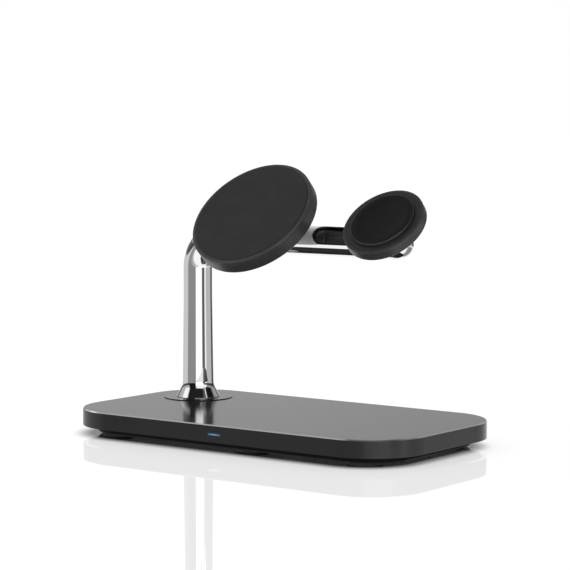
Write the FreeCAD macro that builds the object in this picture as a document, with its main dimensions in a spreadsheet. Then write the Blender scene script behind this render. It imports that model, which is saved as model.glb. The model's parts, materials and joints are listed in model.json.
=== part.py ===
import FreeCAD, Part
import Sketcher
import math
import os

# A desk charging stand: a flat weighted base, a bent chrome tube that rises at
# the rear left and runs to the right as an arm, and two round charging heads
# that tilt on friction hinges inside the arm.  Millimetres, +X right, +Y back,
# +Z up, origin under the middle of the base at the level of the feet.

V = FreeCAD.Vector
doc = FreeCAD.newDocument("charging_stand")

# ---------------------------------------------------------------- dimensions
TABLE = [
    # base
    ("base_len", 192.0, "length of the base"),
    ("base_wid", 102.8, "depth of the base"),
    ("base_rad", 28.5, "corner radius of the base"),
    ("base_top", 12.75, "height of the top face"),
    ("base_bot", 4.5, "lower edge of the side wall"),
    ("wall", 2.2, "side wall thickness"),
    ("top_thick", 2.0, "top thickness"),
    ("edge_cut", 0.5, "bright chamfer round the top"),
    ("plinth_inset", 7.5, "how far the bottom cover's plinth stands in"),
    ("plinth_bot", 1.2, "underside of the plinth"),
    ("plinth_wall", 1.8, "wall and floor of the plinth"),
    ("cover_thick", 1.6, "rim of the bottom cover"),
    ("cover_gap", 0.15, "gap between cover and housing"),
    ("foot_rad", 8.0, "radius of a rubber foot"),
    ("foot_tall", 1.8, "height of a rubber foot"),
    ("foot_sink", 0.6, "depth of a foot's recess"),
    ("foot_dx", 72.5, "feet and cover screws, along X"),
    ("foot_dy", 34.2, "feet and cover screws, along Y"),
    ("foot_mx", 9.5, "the two feet between them, along X"),
    ("seat_z", 3.4, "seat of the cover screw heads"),
    ("split_z", 5.0, "where screw tower and boss meet"),
    ("boss_rad", 3.5, "cover screw boss"),
    ("pilot_rad", 1.3, "cover screw pilot hole"),
    ("ballast_x", 10.0, "middle of the ballast plate"),
    ("ballast_y", -5.5, "middle of the ballast plate"),
    ("ballast_len", 104.0, "ballast plate length"),
    ("ballast_wid", 67.0, "ballast plate width"),
    ("ballast_tall", 3.0, "ballast plate thickness"),
    ("board_half", 34.0, "half length of the main board"),
    ("board_front", 30.5, "front edge of the main board"),
    ("board_back", 46.5, "back edge of the main board"),
    ("board_z", 7.4, "underside of the main board"),
    ("board_thick", 1.0, "main board thickness"),
    ("board_sx", 30.5, "board screws, along X"),
    ("board_sy", 43.5, "rear board screws"),
    ("board_fy", 33.4, "front board screw"),
    ("port_z", 8.3, "height of the inlet and of the indicator"),
    ("port_w", 8.94, "width of the inlet shell"),
    ("port_h", 3.26, "height of the inlet shell"),
    ("port_mouth", 51.0, "mouth of the inlet shell"),
    ("port_long", 7.35, "length of the inlet shell"),
    ("port_skin", 0.3, "sheet of the inlet shell"),
    ("led_w", 7.2, "width of the indicator window"),
    ("led_h", 1.2, "height of the indicator window"),
    ("bud_x", 34.0, "middle of the charging spot in the base"),
    ("bud_y", 6.0, "middle of the charging spot in the base"),
    ("bud_rad", 21.0, "coil holder radius"),
    # post and arm
    ("post_x", -68.0, "post axis"),
    ("post_y", 21.7, "post axis"),
    ("tube_rad", 7.2, "tube outer radius"),
    ("bore_rad", 6.2, "tube bore radius"),
    ("arm_z", 94.0, "height of the arm axis"),
    ("elbow", 16.0, "centre line radius of the elbow"),
    ("tube_end", 52.6, "where the tube ends and the cap starts"),
    ("post_low", 7.75, "radius of the post where the trumpet foot starts"),
    ("taper_top", 64.0, "where the post's slight taper ends"),
    ("gasket", 0.10, "gasket under the foot collar"),
    ("flange_rad", 17.2, "radius of the foot collar"),
    ("flange_thick", 0.25, "thickness of the foot collar"),
    ("bell_foot", 10.848, "radius of the trumpet foot"),
    ("bell_high", 8.2, "height of the trumpet foot"),
    ("bell_rad", 8.622, "where the foot's curve runs into its cone"),
    ("bell_drop", 3.632, "height of the foot's curve"),
    ("flare", 8.0, "curve of the trumpet foot"),
    ("stem_rad", 5.0, "threaded stem"),
    ("stem_bore", 3.5, "stem bore"),
    ("stem_end", 6.0, "lower end of the stem"),
    ("washer_rad", 9.4, "stem washer"),
    ("washer_thick", 1.1, "stem washer"),
    ("nut_thick", 3.0, "stem nut"),
    ("nut_corner", 8.08, "stem nut, centre to corner"),
    ("slot_lean", 38.0, "direction of the hinge slots, up from level"),
    ("slot_half", 5.2, "half width of the hinge slots"),
    ("slot_rad", 4.9, "corner radius of the hinge slots"),
    ("slot_tight", 2.0, "corner radius at the arm's end"),
    ("pslot_a", -47.4, "left end of the large head's slot"),
    ("pslot_b", -1.6, "right end of the large head's slot"),
    ("wslot_a", 7.3, "left end of the small head's slot"),
    ("wslot_b", 49.2, "right end of the small head's slot"),
    ("shaft_rad", 2.5, "hinge shaft"),
    ("shaft_bore", 1.6, "hinge shaft bore"),
    ("shaft_a", -51.5, "left end of the shaft"),
    ("shaft_b", 55.5, "right end of the shaft"),
    ("bush_rad", 6.15, "bushes in the bore"),
    ("spacer_rad", 5.6, "spacer between the heads"),
    ("bush_bore", 2.52, "bore of the bushes"),
    ("window_half", 1.7, "half width of the shaft windows"),
    ("window_len", 6.0, "length of the shaft windows"),
    ("ring_rad", 4.2, "friction washers"),
    ("ring_bore", 2.6, "friction washers"),
    ("lead_rad", 1.2, "lead in the post and arm"),
    ("lead_z", 4.3, "height of the lead in the base"),
    # heads; lengths run from the arm axis along the head's own axis
    ("head_lean", 44.0, "lean of the large head from upright"),
    ("watch_lean", 46.0, "lean of the small head from upright"),
    ("barrel_rad", 5.4, "hinge barrels"),
    ("barrel_bore", 2.55, "bore of the hinge barrels"),
    ("neck_half", 2.6, "half thickness of the necks"),
    ("phone_x", -23.75, "middle of the large head"),
    ("phone_rad", 32.0, "radius of the large head"),
    ("phone_back", 10.7, "rear face of the large head"),
    ("phone_seam", 17.6, "seam of shell and cover"),
    ("phone_face", 19.1, "front of the cover"),
    ("phone_front", 19.6, "front of the soft pad"),
    ("phone_padr", 30.2, "radius of the soft pad"),
    ("phone_wall", 1.8, "shell wall"),
    ("phone_round", 2.0, "rounded rear edge"),
    ("pbarrel_a", -47.05, "left end of the large head's barrel"),
    ("pbarrel_b", -1.95, "right end of the large head's barrel"),
    ("pneck", 8.0, "half width of the large head's neck"),
    ("pscrew", 4.5, "large head's knuckle screws"),
    ("mag_in", 23.0, "magnet ring, inside"),
    ("mag_out", 27.0, "magnet ring, outside"),
    ("mag_count", 18.0, "magnets in the ring"),
    ("watch_x", 51.0, "middle of the small head"),
    ("watch_rad", 20.3, "radius of the small head"),
    ("watch_back", 10.0, "rear face of the small head"),
    ("watch_face", 15.6, "front edge of the small head's shell"),
    ("watch_front", 17.2, "front of the charging disc"),
    ("watch_disc", 16.0, "radius of the charging disc"),
    ("watch_wall", 1.6, "shell wall"),
    ("watch_round", 1.6, "rounded rear edge"),
    ("wbarrel_a", 14.55, "left end of the small head's barrel"),
    ("wbarrel_b", 48.5, "right end of the small head's barrel"),
    ("wneck_x", 42.9, "middle of the small head's neck"),
    ("wneck", 4.3, "half width of the small head's neck"),
    ("wscrew", 2.9, "small head's knuckle screws"),
]

sheet = doc.addObject("Spreadsheet::Sheet", "dims")
VALUE = {}
for row, (alias, value, note) in enumerate(TABLE, 1):
    sheet.set("A%d" % row, alias)
    sheet.set("B%d" % row, str(value))
    sheet.set("C%d" % row, note)
    sheet.setAlias("B%d" % row, alias)
doc.recompute()
for alias, value, note in TABLE:
    VALUE[alias] = float(getattr(sheet, alias))


class Dim:
    """A length that knows its number and the sheet formula behind it."""

    def __init__(self, value, text):
        self.value = float(value)
        self.text = text

    def mix(self, other, sign, result):
        return Dim(result, "(%s %s %s)" % (self.text, sign, other.text))

    def __add__(self, other):
        other = dim(other)
        return self.mix(other, "+", self.value + other.value)

    def __radd__(self, other):
        return dim(other) + self

    def __sub__(self, other):
        other = dim(other)
        return self.mix(other, "-", self.value - other.value)

    def __rsub__(self, other):
        return dim(other) - self

    def __mul__(self, other):
        other = dim(other)
        return self.mix(other, "*", self.value * other.value)

    def __rmul__(self, other):
        return dim(other) * self

    def __truediv__(self, other):
        other = dim(other)
        return self.mix(other, "/", self.value / other.value)

    def __neg__(self):
        return dim(0.0) - self


def dim(value):
    if isinstance(value, Dim):
        return value
    if isinstance(value, str):
        return Dim(VALUE[value], "dims." + value)
    return Dim(value, repr(float(value)))


def bind(obj, prop, value):
    value = dim(value)
    if "dims." in value.text:
        obj.setExpression(prop, value.text)
    else:
        setattr(obj, prop, value.value)


# ------------------------------------------------------------------- helpers
NODES = []


def new_body(label):
    body = doc.addObject("PartDesign::Body", label)
    body.Label = label
    NODES.append(body)
    return body


def base_plane(body, role):
    return [o for o in body.Origin.OriginFeatures if o.Role == role][0]


def new_sketch(body, role, offset=0.0):
    sk = body.newObject("Sketcher::SketchObject", body.Name + "_sketch")
    sk.AttachmentSupport = (base_plane(body, role), [""])
    sk.MapMode = "FlatFace"
    offset = dim(offset)
    sk.AttachmentOffset = FreeCAD.Placement(V(0, 0, offset.value), FreeCAD.Rotation())
    if "dims." in offset.text:
        sk.setExpression("AttachmentOffset.Base.z", offset.text)
    return sk


def pin_point(sk, geo, pos, x, y):
    for kind, axis, value in (("DistanceX", -2, dim(x)), ("DistanceY", -1, dim(y))):
        if abs(value.value) < 1e-9:
            sk.addConstraint(Sketcher.Constraint("PointOnObject", geo, pos, axis))
            continue
        index = sk.addConstraint(Sketcher.Constraint(kind, -1, 1, geo, pos, value.value))
        if "dims." in value.text:
            sk.setExpression("Constraints[%d]" % index, value.text)


def set_radius(sk, geo, rad):
    rad = dim(rad)
    index = sk.addConstraint(Sketcher.Constraint("Radius", geo, rad.value))
    if "dims." in rad.text:
        sk.setExpression("Constraints[%d]" % index, rad.text)


def circle(sk, x, y, rad):
    x, y, rad = dim(x), dim(y), dim(rad)
    geo = sk.addGeometry(Part.Circle(V(x.value, y.value, 0), V(0, 0, 1), rad.value), False)
    pin_point(sk, geo, 3, x, y)
    set_radius(sk, geo, rad)


def loop(sk, points):
    """A closed outline.  A point is (x, y), or (x, y, rad) where an arc of that
    radius runs on to the next point, turning left if rad > 0, right if < 0."""
    pts = [(dim(p[0]), dim(p[1]), dim(p[2]) if len(p) > 2 else None) for p in points]
    ends = []
    for i, (x, y, rad) in enumerate(pts):
        nx, ny = pts[(i + 1) % len(pts)][:2]
        a, b = V(x.value, y.value, 0), V(nx.value, ny.value, 0)
        if rad is None:
            geo = sk.addGeometry(Part.LineSegment(a, b), False)
            ends.append((geo, 1, 2, None))
            continue
        size = abs(rad.value)
        chord = b - a
        half = chord.Length / 2.0
        rise = math.sqrt(max(size * size - half * half, 0.0))
        left = V(-chord.y, chord.x, 0)
        left.normalize()
        turn = 1.0 if rad.value > 0 else -1.0
        mid = (a + b) * 0.5 + left * (turn * rise)
        first, last = (a, b) if turn > 0 else (b, a)
        start = math.atan2(first.y - mid.y, first.x - mid.x)
        stop = math.atan2(last.y - mid.y, last.x - mid.x)
        if stop < start:
            stop += 2 * math.pi
        geo = sk.addGeometry(Part.ArcOfCircle(Part.Circle(mid, V(0, 0, 1), size), start, stop), False)
        ends.append((geo, 1, 2, rad) if turn > 0 else (geo, 2, 1, -rad))
    for i, (geo, begin, end, rad) in enumerate(ends):
        last = ends[i - 1]
        sk.addConstraint(Sketcher.Constraint("Coincident", last[0], last[2], geo, begin))
    for (geo, begin, end, rad), (x, y, unused) in zip(ends, pts):
        pin_point(sk, geo, begin, x, y)
        if rad is None:
            continue
        arc = sk.Geometry[geo]
        if abs(arc.Center.x - x.value) < 1e-6 and abs(arc.StartPoint.distanceToPoint(arc.EndPoint) - 2 * arc.Radius) < 1e-6:
            # a half circle between two upright points: its centre stands in line with them
            sk.addConstraint(Sketcher.Constraint("Vertical", geo, begin, geo, 3))
        else:
            set_radius(sk, geo, rad)


def rounded(sk, cx, cy, hx, hy, rad):
    cx, cy, hx, hy, rad = dim(cx), dim(cy), dim(hx), dim(hy), dim(rad)
    loop(sk, [
        (cx - hx + rad, cy - hy), (cx + hx - rad, cy - hy, rad),
        (cx + hx, cy - hy + rad), (cx + hx, cy + hy - rad, rad),
        (cx + hx - rad, cy + hy), (cx - hx + rad, cy + hy, rad),
        (cx - hx, cy + hy - rad), (cx - hx, cy - hy + rad, rad)])


def pill(sk, cx, cy, hx, hy):
    cx, cy, hx, hy = dim(cx), dim(cy), dim(hx), dim(hy)
    loop(sk, [
        (cx - hx + hy, cy - hy), (cx + hx - hy, cy - hy, hy),
        (cx + hx - hy, cy + hy), (cx - hx + hy, cy + hy, hy)])


def box(sk, x0, x1, y0, y1):
    loop(sk, [(x0, y0), (x1, y0), (x1, y1), (x0, y1)])


def pad(body, sk, length, back=False):
    feat = body.newObject("PartDesign::Pad", body.Name + "_pad")
    feat.Profile = sk
    feat.Reversed = back
    bind(feat, "Length", length)
    doc.recompute()
    return feat


def cut(body, sk, length, along=False):
    """Cuts against the sketch's normal, or along it."""
    before = body.Tip.Shape.Volume
    feat = body.newObject("PartDesign::Pocket", body.Name + "_cut")
    feat.Profile = sk
    feat.Reversed = along
    bind(feat, "Length", length)
    doc.recompute()
    if not feat.Shape.Volume < before - 1e-6:
        raise RuntimeError("a cut in %s removes nothing" % body.Label)
    return feat


def turn(body, sk, axis="V_Axis"):
    feat = body.newObject("PartDesign::Revolution", body.Name + "_turn")
    feat.Profile = sk
    feat.ReferenceAxis = (sk, [axis])
    feat.Angle = 360.0
    doc.recompute()
    return feat


def bevel(body, kind, size, pick):
    doc.recompute()
    base = body.Tip
    names = ["Edge%d" % (i + 1) for i, e in enumerate(base.Shape.Edges) if pick(e)]
    if not names:
        raise RuntimeError("no edge to bevel in %s" % body.Label)
    feat = body.newObject("PartDesign::" + kind, body.Name + "_edge")
    feat.Base = (base, names)
    bind(feat, "Size" if kind == "Chamfer" else "Radius", size)
    doc.recompute()
    return feat


def level(edge, z):
    bb = edge.BoundBox
    return abs(bb.ZMin - z) < 1e-4 and abs(bb.ZMax - z) < 1e-4


def place(obj, x=0.0, y=0.0, z=0.0):
    x, y, z = dim(x), dim(y), dim(z)
    obj.Placement = FreeCAD.Placement(V(x.value, y.value, z.value), FreeCAD.Rotation())
    for key, value in (("x", x), ("y", y), ("z", z)):
        if "dims." in value.text:
            obj.setExpression("Placement.Base." + key, value.text)


def place_head(obj, x):
    """Local Z becomes the head's own axis, which leans back from upright."""
    lean = "watch_lean" if x == "watch_x" else "head_lean"
    x = dim(x)
    obj.Placement = FreeCAD.Placement(
        V(x.value, VALUE["post_y"], VALUE["arm_z"]),
        FreeCAD.Rotation(V(1, 0, 0), 90.0 - VALUE[lean]))
    obj.setExpression("Placement.Base.x", x.text)
    obj.setExpression("Placement.Base.y", "dims.post_y")
    obj.setExpression("Placement.Base.z", "dims.arm_z")
    obj.setExpression("Placement.Rotation.Angle", "90 - dims." + lean)


def ring_body(label, inner, outer, low, high):
    """A flat ring or, with no inner radius, a flat disc about local Z."""
    body = new_body(label)
    sk = new_sketch(body, "XY_Plane", low)
    circle(sk, 0, 0, outer)
    if inner is not None:
        circle(sk, 0, 0, inner)
    pad(body, sk, dim(high) - dim(low))
    return body


half_len, half_wid = dim("base_len") / 2, dim("base_wid") / 2
top_in = dim("base_top") - dim("top_thick")
corners = [(sx, sy) for sx in (-1.0, 1.0) for sy in (-1.0, 1.0)]
fx, fy = dim("foot_dx"), dim("foot_dy")
floor_in = dim("plinth_bot") + dim("plinth_wall")

# ------------------------------------------------------------------ the base
# Upper housing: one moulding, open below, with screw bosses under the top.
housing = new_body("base_housing")
sk = new_sketch(housing, "XY_Plane", "base_bot")
rounded(sk, 0, 0, half_len, half_wid, "base_rad")
pad(housing, sk, dim("base_top") - dim("base_bot"))
bevel(housing, "Chamfer", "edge_cut", lambda e: level(e, VALUE["base_top"]))
sk = new_sketch(housing, "XY_Plane", "base_bot")
rounded(sk, 0, 0, half_len - dim("wall"), half_wid - dim("wall"), dim("base_rad") - dim("wall"))
cut(housing, sk, top_in - dim("base_bot"), along=True)
sk = new_sketch(housing, "XY_Plane", "split_z")
for sx, sy in corners:
    circle(sk, fx * sx, fy * sy, "boss_rad")
pad(housing, sk, top_in - dim("split_z") + 0.6)
sk = new_sketch(housing, "XY_Plane", dim("board_z") + dim("board_thick"))
board_spots = [(-dim("board_sx"), dim("board_sy")), (dim("board_sx"), dim("board_sy")), (dim(0.0), dim("board_fy"))]
for x, y in board_spots:
    circle(sk, x, y, 2.5)
pad(housing, sk, top_in - dim("board_z") - dim("board_thick") + 0.6)
sk = new_sketch(housing, "XY_Plane", "split_z")
for sx, sy in corners:
    circle(sk, fx * sx, fy * sy, "pilot_rad")
cut(housing, sk, 4.8, along=True)
sk = new_sketch(housing, "XY_Plane", dim("board_z") + dim("board_thick"))
for x, y in board_spots:
    circle(sk, x, y, 1.0)
cut(housing, sk, 2.5, along=True)
sk = new_sketch(housing, "XY_Plane", "base_top")
circle(sk, "post_x", "post_y", dim("stem_rad") + 0.1)
cut(housing, sk, 3.0)
sk = new_sketch(housing, "XZ_Plane", half_wid)
pill(sk, 0, "port_z", dim("led_w") / 2 + 0.05, dim("led_h") / 2 + 0.05)
cut(housing, sk, dim("wall") + 1.0)
sk = new_sketch(housing, "XZ_Plane", -half_wid)
pill(sk, 0, "port_z", dim("port_w") / 2 + 0.18, dim("port_h") / 2 + 0.18)
cut(housing, sk, dim("wall") + 1.0, along=True)

# Bottom cover: a rim that closes the housing and an inset plinth under it.
cover = new_body("bottom_cover")
lip = dim("wall") + dim("cover_gap")
sk = new_sketch(cover, "XY_Plane", "base_bot")
rounded(sk, 0, 0, half_len - lip, half_wid - lip, dim("base_rad") - lip)
pad(cover, sk, "cover_thick")
sk = new_sketch(cover, "XY_Plane", "plinth_bot")
inset = dim("plinth_inset")
rounded(sk, 0, 0, half_len - inset, half_wid - inset, dim("base_rad") - inset)
pad(cover, sk, dim("base_bot") - dim("plinth_bot") + 0.4)
bevel(cover, "Chamfer", 0.5, lambda e: level(e, VALUE["plinth_bot"]))
sk = new_sketch(cover, "XY_Plane", dim("base_bot") + dim("cover_thick"))
deep = inset + dim("plinth_wall")
rounded(sk, 0, 0, half_len - deep, half_wid - deep, dim("base_rad") - deep)
cut(cover, sk, dim("base_bot") + dim("cover_thick") - floor_in)
sk = new_sketch(cover, "XY_Plane", floor_in - 0.4)
for sx, sy in corners:
    circle(sk, fx * sx, fy * sy, dim("boss_rad") + 1.0)
pad(cover, sk, dim("split_z") - floor_in + 0.4)
sk = new_sketch(cover, "XY_Plane", "plinth_bot")
for sx, sy in corners:
    circle(sk, fx * sx, fy * sy, dim("foot_rad") + 0.1)
for sy in (-1.0, 1.0):
    circle(sk, "foot_mx", fy * sy, dim("foot_rad") + 0.1)
cut(cover, sk, "foot_sink", along=True)
sk = new_sketch(cover, "XY_Plane", "plinth_bot")
for sx, sy in corners:
    circle(sk, fx * sx, fy * sy, 2.7)
cut(cover, sk, dim("seat_z") - dim("plinth_bot"), along=True)
sk = new_sketch(cover, "XY_Plane", "plinth_bot")
for sx, sy in corners:
    circle(sk, fx * sx, fy * sy, 1.5)
cut(cover, sk, 5.0, along=True)

# Six rubber feet, four of them over the cover screws.
feet = new_body("rubber_feet")
sk = new_sketch(feet, "XY_Plane", 0.0)
for sx, sy in corners:
    circle(sk, fx * sx, fy * sy, "foot_rad")
for sy in (-1.0, 1.0):
    circle(sk, "foot_mx", fy * sy, "foot_rad")
pad(feet, sk, "foot_tall")
bevel(feet, "Fillet", 0.4, lambda e: level(e, 0.0))

# Cover screws: pan heads with a hexagon socket.
screws = new_body("cover_screws")
sk = new_sketch(screws, "XY_Plane", dim("seat_z") - 1.5)
for sx, sy in corners:
    circle(sk, fx * sx, fy * sy, 2.4)
pad(screws, sk, 1.5)
sk = new_sketch(screws, "XY_Plane", "seat_z")
for sx, sy in corners:
    circle(sk, fx * sx, fy * sy, 1.25)
pad(screws, sk, 6.0)
sk = new_sketch(screws, "XY_Plane", dim("seat_z") - 1.5)
for sx, sy in corners:
    loop(sk, [(fx * sx + 1.0 * math.cos(math.radians(60 * k)), fy * sy + 1.0 * math.sin(math.radians(60 * k)))
              for k in range(6)])
cut(screws, sk, 0.9, along=True)

# Ballast plate lying on the plinth's floor.
ballast = new_body("ballast_plate")
sk = new_sketch(ballast, "XY_Plane", floor_in)
rounded(sk, "ballast_x", "ballast_y", dim("ballast_len") / 2, dim("ballast_wid") / 2, 5.0)
pad(ballast, sk, "ballast_tall")

# Main board along the back wall, notched for the inlet, with its parts soldered on.
board = new_body("main_board")
bh, bf, bb = dim("board_half"), dim("board_front"), dim("board_back")
notch = dim("port_w") / 2 + 0.4
notch_y = dim("port_mouth") - dim("port_long") - 0.4
sk = new_sketch(board, "XY_Plane", "board_z")
loop(sk, [(-bh, bf), (bh, bf), (bh, bb), (notch, bb), (notch, notch_y), (-notch, notch_y), (-notch, bb), (-bh, bb)])
for x, y in board_spots:
    circle(sk, x, y, 1.1)
pad(board, sk, "board_thick")
sk = new_sketch(board, "XY_Plane", dim("board_z") + dim("board_thick") - 0.1)
box(sk, -24.0, -18.0, 36.0, 42.0)
box(sk, -14.0, -9.0, 37.0, 41.0)
box(sk, 8.5, 12.5, 33.0, 37.0)
box(sk, 16.0, 23.0, 36.5, 43.5)
pad(board, sk, 1.4)

bscrews = new_body("board_screws")
sk = new_sketch(bscrews, "XY_Plane", dim("board_z") - 1.2)
for x, y in board_spots:
    circle(sk, x, y, 1.9)
pad(bscrews, sk, 1.2)
sk = new_sketch(bscrews, "XY_Plane", "board_z")
for x, y in board_spots:
    circle(sk, x, y, 0.95)
pad(bscrews, sk, 3.0)

# Power inlet: a folded steel shell, closed at the back, and its contact tongue.
port = new_body("power_inlet_shell")
sk = new_sketch(port, "XZ_Plane", -dim("port_mouth"))
pill(sk, 0, "port_z", dim("port_w") / 2, dim("port_h") / 2)
pad(port, sk, "port_long")
sk = new_sketch(port, "XZ_Plane", -dim("port_mouth"))
pill(sk, 0, "port_z", dim("port_w") / 2 - dim("port_skin"), dim("port_h") / 2 - dim("port_skin"))
cut(port, sk, dim("port_long") - 0.6, along=True)
tongue = new_body("power_inlet_tongue")
sk = new_sketch(tongue, "XZ_Plane", -(dim("port_mouth") - dim("port_long") + 0.6))
pill(sk, 0, "port_z", dim("port_w") / 2 - dim("port_skin") - 0.05, dim("port_h") / 2 - dim("port_skin") - 0.05)
pad(tongue, sk, 1.2, back=True)
sk = new_sketch(tongue, "XZ_Plane", -(dim("port_mouth") - dim("port_long") + 1.6))
box(sk, -3.35, 3.35, dim("port_z") - 0.35, dim("port_z") + 0.35)
pad(tongue, sk, 4.6, back=True)

# Indicator: a moulded light guide in the front wall and the small board behind it.
lens = new_body("indicator_lens")
sk = new_sketch(lens, "XZ_Plane", half_wid)
pill(sk, 0, "port_z", dim("led_w") / 2, dim("led_h") / 2)
pad(lens, sk, dim("wall") + 0.4, back=True)
sk = new_sketch(lens, "XZ_Plane", half_wid - dim("wall") - 0.05)
rounded(sk, 0, "port_z", 5.0, 1.6, 0.6)
pad(lens, sk, 0.8, back=True)
led = new_body("indicator_board")
sk = new_sketch(led, "XZ_Plane", half_wid - dim("wall") - 1.8)
rounded(sk, 0, "port_z", 7.0, 1.9, 0.4)
pad(led, sk, 1.0, back=True)
sk = new_sketch(led, "XZ_Plane", half_wid - dim("wall") - 1.9)
box(sk, -1.6, 1.6, dim("port_z") - 0.6, dim("port_z") + 0.6)
pad(led, sk, 0.9)

# Charging spot in the base: coil, ferrite and holder under the top.
bud_holder = new_body("earbud_coil_holder")
sk = new_sketch(bud_holder, "XZ_Plane", 0.0)
br = dim("bud_rad")
loop(sk, [(0, top_in - 2.7), (br, top_in - 2.7), (br, top_in - 0.05), (br - 0.8, top_in - 0.05),
          (br - 0.8, top_in - 2.1), (0, top_in - 2.1)])
turn(bud_holder, sk)
place(bud_holder, "bud_x", "bud_y")
bud_ferrite = ring_body("earbud_ferrite", None, br - 1.2, top_in - 2.05, top_in - 1.35)
place(bud_ferrite, "bud_x", "bud_y")
bud_coil = ring_body("earbud_coil", 6.0, br - 2.0, top_in - 1.3, top_in - 0.1)
place(bud_coil, "bud_x", "bud_y")

# ---------------------------------------------------- post fixing, Part solids
def cylinder(label, rad, tall):
    obj = doc.addObject("Part::Cylinder", label)
    bind(obj, "Radius", rad)
    bind(obj, "Height", tall)
    return obj


def cut_pair(label, outer, inner):
    obj = doc.addObject("Part::Cut", label)
    obj.Label = label
    obj.Base = outer
    obj.Tool = inner
    NODES.append(obj)
    return obj


gasket = cut_pair("foot_gasket", cylinder("gasket_disc", dim("flange_rad") - 2.0, "gasket"),
                  cylinder("gasket_hole", dim("stem_rad") + 0.1, "gasket"))
place(gasket, "post_x", "post_y", "base_top")

# Thin coated disc between the gasket and the post's foot.
collar = new_body("foot_collar")
sk = new_sketch(collar, "XZ_Plane", 0.0)
rim, thick = dim("flange_rad"), dim("flange_thick")
loop(sk, [(dim("stem_rad") + 0.1, 0), (rim - 0.08, 0), (rim, 0.08), (rim, thick - 0.08), (rim - 0.08, thick), (dim("stem_rad") + 0.1, thick)])
turn(collar, sk)
place(collar, "post_x", "post_y", dim("base_top") + dim("gasket"))
washer = cut_pair("stem_washer", cylinder("washer_disc", "washer_rad", "washer_thick"),
                  cylinder("washer_hole", dim("stem_rad") + 0.1, "washer_thick"))
place(washer, "post_x", "post_y", top_in - dim("washer_thick"))
hexagon = doc.addObject("Part::Prism", "nut_hexagon")
hexagon.Polygon = 6
bind(hexagon, "Circumradius", "nut_corner")
bind(hexagon, "Height", "nut_thick")
nut = cut_pair("stem_nut", hexagon, cylinder("nut_hole", dim("stem_rad") + 0.05, "nut_thick"))
place(nut, "post_x", "post_y", top_in - dim("washer_thick") - dim("nut_thick"))

# -------------------------------------------------------------- post and arm
# One bent and plated tube with a trumpet foot and a hollow stem brazed on.
tube = new_body("stand_tube")
rise = dim("base_top") + dim("gasket")
seat = rise + dim("flange_thick")
flare_top = seat + dim("bell_high")
reach = dim("tube_end") - dim("post_x")
spine = new_sketch(tube, "XZ_Plane", 0.0)
bend_z = dim("arm_z") - dim("elbow")
g0 = spine.addGeometry(Part.LineSegment(V(0, VALUE["taper_top"], 0), V(0, bend_z.value, 0)), False)
g1 = spine.addGeometry(Part.ArcOfCircle(Part.Circle(V(VALUE["elbow"], bend_z.value, 0), V(0, 0, 1), VALUE["elbow"]),
                                        math.pi / 2, math.pi), False)
g2 = spine.addGeometry(Part.LineSegment(V(VALUE["elbow"], VALUE["arm_z"], 0), V(reach.value, VALUE["arm_z"], 0)), False)
spine.addConstraint(Sketcher.Constraint("Coincident", g0, 2, g1, 2))
spine.addConstraint(Sketcher.Constraint("Coincident", g1, 1, g2, 1))
pin_point(spine, g0, 1, 0, "taper_top")
pin_point(spine, g0, 2, 0, bend_z)
pin_point(spine, g2, 1, "elbow", "arm_z")
pin_point(spine, g2, 2, reach, "arm_z")
set_radius(spine, g1, "elbow")
section = new_sketch(tube, "XY_Plane", "taper_top")
circle(section, 0, 0, "tube_rad")
circle(section, 0, 0, "bore_rad")
pipe = tube.newObject("PartDesign::AdditivePipe", "stand_tube_bend")
pipe.Profile = section
pipe.Spine = spine
doc.recompute()
sk = new_sketch(tube, "XZ_Plane", 0.0)
sr, sb, low, brd = dim("stem_rad"), dim("stem_bore"), dim("post_low"), dim("bore_rad")
loop(sk, [(sb, "stem_end"), (sr, "stem_end"), (sr, seat), (dim("bell_foot") - 0.12, seat), ("bell_foot", seat + 0.2),
          ("bell_rad", flare_top - dim("bell_drop"), -dim("flare")), (low, flare_top),
          ("tube_rad", "taper_top"), (brd, "taper_top"), (brd, rise + 5.0), (sb, rise + 2.5)])
turn(tube, sk)


def arm_slot(first, last, near, far):
    """A slot in the arm whose corners have the radius near on the left and far on the right."""
    slot = new_sketch(tube, "XY_Plane", "arm_z")
    slot.AttachmentOffset = FreeCAD.Placement(V(0, 0, VALUE["arm_z"]), FreeCAD.Rotation(V(1, 0, 0), 90.0 - VALUE["slot_lean"]))
    slot.setExpression("AttachmentOffset.Rotation.Angle", "90 - dims.slot_lean")
    first, last = dim(first) - dim("post_x"), dim(last) - dim("post_x")
    near, far, half = dim(near), dim(far), dim("slot_half")
    loop(slot, [(first + near, -half), (last - far, -half, far), (last, far - half), (last, half - far, far),
                (last - far, half), (first + near, half, near), (first, half - near), (first, near - half, near)])
    cut(tube, slot, 12.0, along=True)


arm_slot("pslot_a", "pslot_b", "slot_rad", "slot_rad")
arm_slot("wslot_a", "wslot_b", "slot_rad", "slot_tight")
place(tube, "post_x", "post_y")

# Rounded end cap: a dome whose spigot bears on the hinge stack and takes the shaft's thread.
cap = new_body("arm_end_cap")
sk = new_sketch(cap, "XZ_Plane", 0.0)
spigot = dim("wslot_b") - 0.05 - dim("tube_end")
deepest = dim("shaft_b") - dim("tube_end") + 0.5
loop(sk, [(spigot, "bush_bore"), (spigot, "bush_rad"), (0, "bush_rad"), (0, "tube_rad", -dim("tube_rad")),
          ("tube_rad", 0), (deepest, 0), (deepest, "bush_bore")])
turn(cap, sk, "H_Axis")
place(cap, "tube_end", "post_y", "arm_z")


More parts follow.
